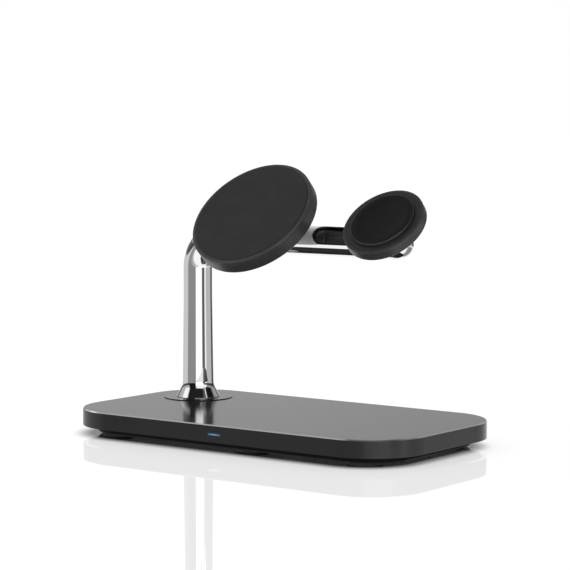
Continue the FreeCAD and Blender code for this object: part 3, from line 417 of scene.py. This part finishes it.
inner_plastic = grained("inner_plastic", (0.02, 0.02, 0.02), (0.03, 0.03, 0.03), (0.4, 0.55), 2500.0, 0.00001)
steel = grained("steel_plated", (0.46, 0.47, 0.48), (0.60, 0.61, 0.62), (0.24, 0.36), 1800.0, 0.000004, metallic=1.0)
brass = grained("brass_turned", (0.58, 0.42, 0.17), (0.72, 0.55, 0.25), (0.22, 0.34), 1800.0, 0.000004, metallic=1.0)
magnet = grained("magnet_nickel", (0.52, 0.51, 0.48), (0.66, 0.65, 0.62), (0.18, 0.3), 1500.0, 0.000004, metallic=1.0)
ferrite = grained("ferrite_sintered", (0.06, 0.06, 0.06), (0.10, 0.10, 0.10), (0.6, 0.8), 2500.0, 0.00002)
lead_jacket = grained("lead_jacket", (0.012, 0.012, 0.012), (0.02, 0.02, 0.02), (0.45, 0.6), 1800.0, 0.00001)
board = board_green()
copper = wound_copper()

FINISH = {
    "base_coat": base_coat, "cover_black": cover_black, "rubber_black": rubber_black, "chrome": chrome,
    "steel": steel, "brass": brass, "hinge_black": hinge_black, "head_grey": head_grey, "disc_black": disc_black,
    "inner_plastic": inner_plastic, "light_guide": lens_glow, "circuit_board": board, "copper": copper,
    "ferrite": ferrite, "magnet": magnet, "lead_jacket": lead_jacket,
}
for row in frame["record"]["subparts"]:
    obj = frame["nodes"][row["node"]]
    for holder in obj.material_slots:
        holder.material = FINISH[row["material_slot"]]


# ------------------------------------------------------- bent tube with slots
def tube():
    shell = Shell()
    lean = math.radians(SLOT_LEAN)
    n_y, n_z = -math.cos(lean), math.sin(lean)
    u_y, u_z = math.sin(lean), math.cos(lean)
    soft = 0.12
    across = [math.sin(math.pi / 2 * k / 24) for k in range(-24, 25)]
    inside, plain = len(across), 96

    def columns(grow):
        """Distances from a slot's middle line to the columns across it."""
        return [(SLOT_HALF + grow) * c for c in across]

    def shift(corner, grow):
        """How far round a slot's end each column starts, and the same for the columns of the plain tube."""
        bend, flat = corner + grow, SLOT_HALF - corner
        ends = []
        for v in columns(grow):
            over = min(max(abs(v) - flat, 0.0), bend)
            ends.append(-grow + bend - math.sqrt(bend * bend - over * over))
        return ends + [ends[0]] * (plain - 1)

    def angles(radius, grow):
        first = math.asin((SLOT_HALF + grow) / radius)
        rest = [first + (2 * math.pi - 2 * first) * k / plain for k in range(1, plain)]
        return [math.asin(v / radius) for v in columns(grow)] + rest

    outer, inner = angles(TUBE_R, soft), angles(BORE_R, 0.0)

    def spoke(t, out):
        """Unit vector at angle t round the axis, where out is the outside of the bend."""
        c, s = math.cos(t), math.sin(t)
        return Vector((0, c * n_y + s * u_y, 0)) + out * (c * n_z + s * u_z)

    west, up = Vector((-1, 0, 0)), Vector((0, 0, 1))
    foot = Vector((POST_X, POST_Y, 0))

    def foot_rows(run, spread):
        rows = []
        for p, n in run:
            rows.append([(foot + spoke(t, west) * p.x + up * p.y, spoke(t, west) * n.x + up * n.y) for t in spread])
        return rows

    def bend_rows(radius, spread, sign):
        rows = []
        for k in range(33):
            a = math.pi / 2 * k / 32
            out = Vector((-math.cos(a), 0, math.sin(a)))
            axis = Vector((POST_X + ELBOW, POST_Y, ARM_Z - ELBOW)) + out * ELBOW
            rows.append([(axis + spoke(t, out) * radius, spoke(t, out) * sign) for t in spread])
        return rows

    # stem, trumpet foot, and the post with its slight taper
    turn = math.radians(FLARE_TURN)
    hub = Vector((POST_LOW + FLARE, FLARE_TOP))
    flare = []
    for k in range(25):
        a = turn * (1 - k / 24)
        n = Vector((math.cos(a), math.sin(a)))
        flare.append((hub - n * FLARE, n))
    bell = flare[0][0]
    for run in outline([(3.5, 6.0), (5.0, 6.0, 0.4), (5.0, SEAT), (bell.x + (bell.y - SEAT) * math.tan(turn), SEAT, 0.15), tuple(bell)], closed=False):
        shell.grid(foot_rows(run, outer))
    shell.grid(foot_rows(flare, outer))
    lowest, slope = FLARE_TOP, (POST_LOW - TUBE_R) / (TAPER_TOP - FLARE_TOP)

    def side(z):
        return Vector((TUBE_R + slope * (TAPER_TOP - z), z)), Vector((1, slope)).normalized()

    post = [(Vector((POST_LOW, lowest)), Vector((1, 0))), side(lowest + 6.0), side(TAPER_TOP - 5.0),
            (Vector((TUBE_R, TAPER_TOP)), Vector((1, slope / 2)).normalized()),
            (Vector((TUBE_R, TAPER_TOP + 5.0)), Vector((1, 0))), (Vector((TUBE_R, ARM_Z - ELBOW)), Vector((1, 0)))]
    shell.grid(foot_rows(post, outer))
    shell.grid(bend_rows(TUBE_R, outer, 1.0))

    # bore of the stem and of the post; the stem has the outer columns
    shell.grid(foot_rows([(Vector((3.5, 6.0)), Vector((-1, 0))), (Vector((3.5, RISE + 2.5)), Vector((-1, 0)))], outer))
    lean_in = Vector((-2.5, BORE_R - 3.5)).normalized()
    shell.grid([foot_rows([(Vector((3.5, RISE + 2.5)), lean_in)], outer)[0], foot_rows([(Vector((BORE_R, RISE + 5.0)), lean_in)], inner)[0]])
    shell.grid(foot_rows([(Vector((BORE_R, RISE + 5.0)), Vector((-1, 0))), (Vector((BORE_R, ARM_Z - ELBOW)), Vector((-1, 0)))], inner))
    shell.grid(bend_rows(BORE_R, inner, -1.0))

    # arm, outside and inside, left open at the slots
    axis = Vector((0, POST_Y, ARM_Z))

    def at(x, t, radius, sign):
        d = spoke(t, up)
        return axis + Vector((x, 0, 0)) + d * radius, d * sign

    def arm(radius, spread, grow, sign, last):
        count = len(spread)
        stops = [[POST_X + ELBOW] * count]
        for a, b, near, far in SLOTS:
            stops.append([a + m for m in shift(near, grow)])
            stops.append([b - m for m in shift(far, grow)])
        stops.append([last] * count)
        for block in range(len(stops) - 1):
            first, second = stops[block], stops[block + 1]
            for j in range(count):
                k = (j + 1) % count
                if block in (1, 3) and j < inside - 1:
                    continue
                shell.face([at(first[j], spread[j], radius, sign), at(first[k], spread[k], radius, sign),
                            at(second[k], spread[k], radius, sign), at(second[j], spread[j], radius, sign)])

    lip = 0.12
    arm(TUBE_R, outer, soft, 1.0, TUBE_END - lip)
    arm(BORE_R, inner, 0.0, -1.0, TUBE_END)

    # softened end of the arm
    rows = []
    for k in range(5):
        a = math.pi / 2 * k / 4
        rows.append([(axis + Vector((TUBE_END - lip + lip * math.sin(a), 0, 0)) + spoke(t, up) * (TUBE_R - lip + lip * math.cos(a)),
                      Vector((math.sin(a), 0, 0)) + spoke(t, up) * math.cos(a)) for t in outer])
    shell.grid(rows)
    right = Vector((1, 0, 0))
    shell.grid([[(p, right) for p, n in rows[-1]], [(at(TUBE_END, t, BORE_R, 1.0)[0], right) for t in inner]])

    # walls of the slots, with a softened outer edge
    n_dir, u_dir = Vector((0, n_y, n_z)), Vector((0, u_y, u_z))

    def on_wall(x, v, radius, drop=0.0):
        return axis + Vector((x, 0, 0)) + u_dir * v + n_dir * (math.sqrt(radius * radius - v * v) - drop)

    for a, b, near, far in SLOTS:
        for end, sense, corner in ((a, 1.0, near), (b, -1.0, far)):
            rows = [[], [], [], []]
            for xo, vo, xw, vw in zip(shift(corner, soft), columns(soft), shift(corner, 0.0), columns(0.0)):
                over = min(max(abs(vw) - SLOT_HALF + corner, 0.0) / corner, 1.0)
                face = Vector((sense * math.sqrt(1.0 - over * over), 0, 0)) - u_dir * math.copysign(over, vw)
                rows[0].append((on_wall(end + sense * xo, vo, TUBE_R), spoke(math.asin(vo / TUBE_R), up)))
                rows[1].append((on_wall(end + sense * xw, vw, TUBE_R, soft), face))
                rows[2].append((on_wall(end + sense * xw, vw, TUBE_R, soft), face))
                rows[3].append((on_wall(end + sense * xw, vw, BORE_R), face))
            shell.grid(rows[0:2], closed=False)
            shell.grid(rows[2:4], closed=False)
        for sense in (1.0, -1.0):
            face = -u_dir * sense
            x0, x1 = a + near, b - far
            vo, vw = (SLOT_HALF + soft) * sense, SLOT_HALF * sense
            top = spoke(math.asin(vo / TUBE_R), up)
            shell.grid([[(on_wall(x0, vo, TUBE_R), top), (on_wall(x1, vo, TUBE_R), top)],
                        [(on_wall(x0, vw, TUBE_R, soft), face), (on_wall(x1, vw, TUBE_R, soft), face)]], closed=False)
            shell.grid([[(on_wall(x0, vw, TUBE_R, soft), face), (on_wall(x1, vw, TUBE_R, soft), face)],
                        [(on_wall(x0, vw, BORE_R), face), (on_wall(x1, vw, BORE_R), face)]], closed=False)
    return shell.build("bent_tube", "stand", "chrome", chrome, "stand_tube")


tube()

# Thin disc under the post's foot.
shell = Shell()
lathe(shell, outline([(5.1, RISE), (COLLAR_R, RISE, 0.06), (COLLAR_R, SEAT, 0.15), (5.1, SEAT)]),
      Vector((POST_X, POST_Y, 0)), Vector((1, 0, 0)), Vector((0, 1, 0)), Vector((0, 0, 1)), 128)
shell.build("foot_disc", "stand", "base_coat", collar_coat, "foot_collar")

# Rounded end of the arm, with its spigot.
shell = Shell()
profile = outline([(0.0, 3.4), (2.52, 3.4), (2.52, -3.45), (6.15, -3.45, 0.3), (6.15, 0.0), (7.08, 0.0), (TUBE_R, 0.12)], closed=False, steps=4)
dome = []
for k in range(41):
    a = math.asin(0.12 / TUBE_R) + (math.pi / 2 - math.asin(0.12 / TUBE_R)) * k / 40
    dome.append((Vector((TUBE_R * math.cos(a), TUBE_R * math.sin(a))), Vector((math.cos(a), math.sin(a)))))
lathe(shell, profile + [dome], Vector((TUBE_END, POST_Y, ARM_Z)), Vector((0, 1, 0)), Vector((0, 0, 1)), Vector((1, 0, 0)), 128)
shell.build("arm_end_dome", "stand", "chrome", chrome, "arm_end_cap")

# ------------------------------------------------------------------ large head
h = LARGE
where = head_frame(h)
shell = Shell()
lathe(shell, outline([(0, h["back"]), (h["rad"], h["back"], h["soft"]), (h["rad"], h["seam"], 0.22), (h["rad"] - h["wall"], h["seam"], 0.15),
                      (h["rad"] - h["wall"], h["back"] + h["wall"], 0.6), (0, h["back"] + h["wall"])], closed=False), *where)
shell.build("large_rear_shell", "phone_head", "head_grey", large_finish, "phone_rear_shell")
shell = Shell()
lathe(shell, outline([(0, h["seam"] + 0.05), (h["rad"], h["seam"] + 0.05, 0.25), (h["rad"], h["face"], 0.7), (0, h["face"])], closed=False), *where)
shell.build("large_front_cover", "phone_head", "head_grey", head_grey, "phone_front_cover")
shell = Shell()
lathe(shell, outline([(0, h["face"]), (h["pad"], h["face"]), (h["pad"], h["front"], 0.35), (0, h["front"])], closed=False), *where)
shell.build("large_soft_pad", "phone_head", "rubber_black", pad_soft, "phone_pad")

# ------------------------------------------------------------------ small head
h = SMALL
where = head_frame(h)
shell = Shell()
lathe(shell, outline([(0, h["back"]), (h["rad"], h["back"], h["soft"]), (h["rad"], h["face"], 0.3), (h["rad"] - h["wall"], h["face"], 0.2),
                      (h["rad"] - h["wall"], h["back"] + h["wall"], 0.6), (0, h["back"] + h["wall"])], closed=False), *where)
shell.build("small_rear_shell", "watch_head", "head_grey", small_finish_painted_shade, "watch_rear_shell")
shell = Shell()
lathe(shell, outline([(h["disc"] + 0.03, h["face"] - 1.2), (h["rad"] - h["wall"] - 0.05, h["face"] - 1.2),
                      (h["rad"] - h["wall"] - 0.05, h["face"] - 0.1, 0.10), (h["disc"] + 0.03, h["face"] - 0.1, 0.05)]), *where)
shell.build("small_bezel_ring", "watch_head", "disc_black", bezel_black, "watch_bezel")
shell = Shell()
low = h["back"] + h["wall"] + 2.05
runs = outline([(0, low), (h["disc"], low), (h["disc"], h["front"], 0.7), (13.0, h["front"])], closed=False)
bowl, centre = [], h["front"] - 0.6 + 141.1
for k in range(25):
    r = 13.0 * (1 - k / 24)
    drop = math.sqrt(141.1 ** 2 - r * r)
    bowl.append((Vector((r, centre - drop)), Vector((-r, drop)).normalized()))
lathe(shell, runs + [bowl], *where)
shell.build("small_charge_disc", "watch_head", "disc_black", disc_finish_painted_light, "watch_charge_disc")

# ----------------------------------------------------------------- studio
TOWARDS = Vector((0.5961, -0.8029, 0.0))
RIGHT = Vector((0.8029, 0.5961, 0.0))


def studio_world():
    world = bpy.data.worlds.new("studio")
    bpy.context.scene.world = world
    world.use_nodes = True
    tree = world.node_tree
    tree.nodes.clear()
    out = node(tree, "ShaderNodeOutputWorld")
    where = node(tree, "ShaderNodeTexCoord")
    direction = where.outputs["Generated"]

    def along(v):
        d = node(tree, "ShaderNodeVectorMath", operation="DOT_PRODUCT")
        d.inputs[1].default_value = v
        wire(tree, direction, d.inputs[0])
        return d.outputs["Value"]

    turn = node(tree, "ShaderNodeMath", operation="ARCTAN2")
    wire(tree, along(RIGHT), turn.inputs[0])
    wire(tree, along(TOWARDS), turn.inputs[1])
    share = node(tree, "ShaderNodeMapRange")
    share.inputs["From Min"].default_value = -math.pi
    share.inputs["From Max"].default_value = math.pi
    wire(tree, turn.outputs[0], share.inputs["Value"])

    def bands(stops, soft):
        """Values by azimuth, in degrees from the camera's side, each from its start to the next one's."""
        marks = [(-180.0, stops[0][1])]
        for (start, value), (_, before) in zip(stops[1:], stops):
            marks += [(start - soft, before), (start + soft, value)]
        return fade(marks)

    def fade(marks):
        """Values by azimuth, running straight from mark to mark."""
        r = node(tree, "ShaderNodeValToRGB")
        while len(r.color_ramp.elements) < len(marks):
            r.color_ramp.elements.new(1.0)
        for e, (angle, value) in zip(r.color_ramp.elements, marks):
            e.position = (angle + 180.0) / 360.0
            e.color = (value, value, value, 1.0)
        wire(tree, share.outputs["Result"], r.inputs["Fac"])
        return r.outputs["Color"]

    def step(source, start, stop):
        m = node(tree, "ShaderNodeMapRange", interpolation_type="SMOOTHSTEP")
        m.inputs["From Min"].default_value = start
        m.inputs["From Max"].default_value = stop
        wire(tree, source, m.inputs["Value"])
        return m.outputs["Result"]

    def blend(factor, first, second):
        m = node(tree, "ShaderNodeMix", data_type="RGBA")
        wire(tree, factor, m.inputs["Factor"])
        for value, socket in ((first, "A"), (second, "B")):
            if isinstance(value, float):
                m.inputs[socket].default_value = (value, value, value, 1.0)
            else:
                wire(tree, value, m.inputs[socket])
        return m.outputs["Result"]

    def lobe(azimuth, elevation, core, rim):
        """1 within core degrees of a direction, 0 beyond rim degrees."""
        a, e = math.radians(azimuth), math.radians(elevation)
        aim = TOWARDS * (math.cos(a) * math.cos(e)) + RIGHT * (math.sin(a) * math.cos(e)) + Vector((0, 0, math.sin(e)))
        return step(along(aim), math.cos(math.radians(rim)), math.cos(math.radians(core)))

    low = bands([(-180, 0.62), (-83, 0.27), (-15, 1.15), (34, 0.11), (55, 0.95), (68, 0.50), (121, 0.06), (150, 0.62)], 1.5)
    wall = fade([(-180, 0.70), (-120, 0.62), (-83, 0.44), (-73, 0.41), (-40, 0.43), (-12, 0.58), (15, 1.04), (60, 1.22), (80, 0.84), (100, 0.69),
                 (114, 0.70), (126, 0.78), (138, 0.95), (150, 0.95), (180, 0.80)])
    ledge = fade([(-180, 0.61), (-167, 0.66), (-158, 0.22), (-130, 0.11), (-97, 0.06), (-78, 0.03), (-70, 0.008), (-20, 0.008), (-12, 1.75), (35, 1.85),
                  (43, 0.28), (57, 0.04), (140, 0.03), (158, 0.36), (168, 0.44), (180, 0.61)])
    middle = fade([(-180, 0.85), (-155, 0.66), (-128, 0.46), (-72, 0.46), (-62, 0.008), (-18, 0.008), (-14, 1.00), (62, 1.00), (70, 0.26),
                   (110, 0.26), (120, 0.32), (150, 0.40), (165, 0.70), (180, 0.85)])
    crown = fade([(-180, 0.40), (-165, 0.90), (-128, 1.00), (-72, 1.00), (-62, 0.008), (-18, 0.008), (-8, 1.00), (56, 1.00), (64, 0.008),
                  (114, 0.008), (122, 0.32), (160, 0.32), (180, 0.30)])
    ground = fade([(-180, 1.00), (64, 1.00), (80, 0.26), (122, 0.22), (146, 1.00), (180, 1.00)])
    rise = node(tree, "ShaderNodeSeparateXYZ")
    wire(tree, direction, rise.inputs["Vector"])
    z = rise.outputs["Z"]
    upper = blend(step(z, 0.21, 0.28), ledge, middle)
    upper = blend(step(z, 0.44, 0.49), upper, crown)
    upper = blend(step(z, 0.60, 0.71), upper, 0.015)
    upper = blend(lobe(-117.0, 54.0, 8.0, 22.0), upper, 0.42)
    upper = blend(lobe(142.0, 58.0, 15.0, 27.0), upper, 0.26)
    upper = blend(lobe(0.0, 90.0, 10.0, 28.0), upper, 0.15)
    lower = blend(step(z, -0.27, -0.20), ground, blend(step(z, -0.139, -0.131), wall, low))
    seen = blend(step(z, 0.045, 0.085), lower, upper)

    path = node(tree, "ShaderNodeLightPath")
    glossy = node(tree, "ShaderNodeMix", data_type="RGBA")
    wire(tree, path.outputs["Is Glossy Ray"], glossy.inputs["Factor"])
    glossy.inputs["A"].default_value = (1.0, 1.0, 1.0, 1.0)
    wire(tree, seen, glossy.inputs["B"])
    background = node(tree, "ShaderNodeBackground")
    wire(tree, glossy.outputs["Result"], background.inputs["Color"])
    wire(tree, background.outputs["Background"], out.inputs["Surface"])


def pale_floor():
    mesh = bpy.data.meshes.new("floor")
    rings, spokes = (0.0, 0.15, 0.4, 1.2, 4.0, 12.0), 64
    verts, faces = [(0.0, 0.0, 0.0)], []
    for r in rings[1:]:
        verts += [(r * math.cos(2 * math.pi * k / spokes), r * math.sin(2 * math.pi * k / spokes), 0.0) for k in range(spokes)]
    for k in range(spokes):
        faces.append((0, 1 + k, 1 + (k + 1) % spokes))
        for i in range(len(rings) - 2):
            a, b = 1 + i * spokes, 1 + (i + 1) * spokes
            faces.append((a + k, b + k, b + (k + 1) % spokes, a + (k + 1) % spokes))
    mesh.from_pydata(verts, [], faces)
    floor = bpy.data.objects.new("floor", mesh)
    bpy.context.scene.collection.objects.link(floor)
    material = bpy.data.materials.new("floor_pale")
    material.use_nodes = True
    tree = material.node_tree
    tree.nodes.clear()
    out = node(tree, "ShaderNodeOutputMaterial")
    matt = node(tree, "ShaderNodeBsdfDiffuse")
    glow = node(tree, "ShaderNodeEmission")
    glow.inputs["Color"].default_value = (1.0, 1.0, 1.0, 1.0)
    # Painted shadow: the floor's own brightness stops at the shade under the base. Its glow and its matt colour both
    # fade to dark near and under the base, a contact shadow painted on the floor.
    where = node(tree, "ShaderNodeTexCoord")
    shift = node(tree, "ShaderNodeVectorMath", operation="ADD")
    shift.inputs[1].default_value = (0.0015, 0.0, 0.0)
    wire(tree, where.outputs["Object"], shift.inputs[0])
    fold = node(tree, "ShaderNodeVectorMath", operation="ABSOLUTE")
    wire(tree, shift.outputs["Vector"], fold.inputs[0])
    past = node(tree, "ShaderNodeVectorMath", operation="SUBTRACT")
    past.inputs[1].default_value = (0.0660, 0.0229, 0.0)
    wire(tree, fold.outputs["Vector"], past.inputs[0])
    clip = node(tree, "ShaderNodeVectorMath", operation="MAXIMUM")
    clip.inputs[1].default_value = (0.0, 0.0, 0.0)
    wire(tree, past.outputs["Vector"], clip.inputs[0])
    painted_shadow_reach = node(tree, "ShaderNodeVectorMath", operation="LENGTH")
    wire(tree, clip.outputs["Vector"], painted_shadow_reach.inputs[0])
    # Painted shadow on the floor: glow strength and matt colour fall towards the base.
    wire(tree, ramp(tree, painted_shadow_reach.outputs["Value"], 0.0, 0.46, 0.0242, 0.0335), glow.inputs["Strength"])
    wire(tree, tint(tree, ramp(tree, painted_shadow_reach.outputs["Value"], 0.0, 1.0, 0.0236, 0.0315), (0.02, 0.02, 0.02), (0.36, 0.36, 0.365), 0.0, 1.0), matt.inputs["Color"])
    gloss = node(tree, "ShaderNodeBsdfGlossy")
    gloss.inputs["Color"].default_value = (0.40, 0.40, 0.40, 1.0)
    gloss.inputs["Roughness"].default_value = 0.012
    first = node(tree, "ShaderNodeAddShader")
    second = node(tree, "ShaderNodeAddShader")
    wire(tree, matt.outputs[0], first.inputs[0])
    wire(tree, glow.outputs[0], first.inputs[1])
    wire(tree, first.outputs[0], second.inputs[0])
    wire(tree, gloss.outputs[0], second.inputs[1])
    # Mirrors see the studio in place of the floor.
    path = node(tree, "ShaderNodeLightPath")
    clear = node(tree, "ShaderNodeBsdfTransparent")
    mix = node(tree, "ShaderNodeMixShader")
    wire(tree, path.outputs["Is Glossy Ray"], mix.inputs["Fac"])
    wire(tree, second.outputs[0], mix.inputs[1])
    wire(tree, clear.outputs[0], mix.inputs[2])
    wire(tree, mix.outputs[0], out.inputs["Surface"])
    mesh.materials.append(material)
    floor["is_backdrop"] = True


studio_world()
pale_floor()

camera = bpy.data.objects.new("camera", bpy.data.cameras.new("camera"))
bpy.context.scene.collection.objects.link(camera)
camera.location = (0.620417, -0.832243, 0.158768)
camera.rotation_mode = "QUATERNION"
camera.rotation_quaternion = Vector((-0.5941427, 0.8002177, -0.0815233)).to_track_quat("-Z", "Y")
camera.data.sensor_width = 36.0
camera.data.lens = 36.0 * 2191.95 / 570.0
bpy.context.scene.camera = camera
bpy.context.scene.view_settings.view_transform = "Standard"

low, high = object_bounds()
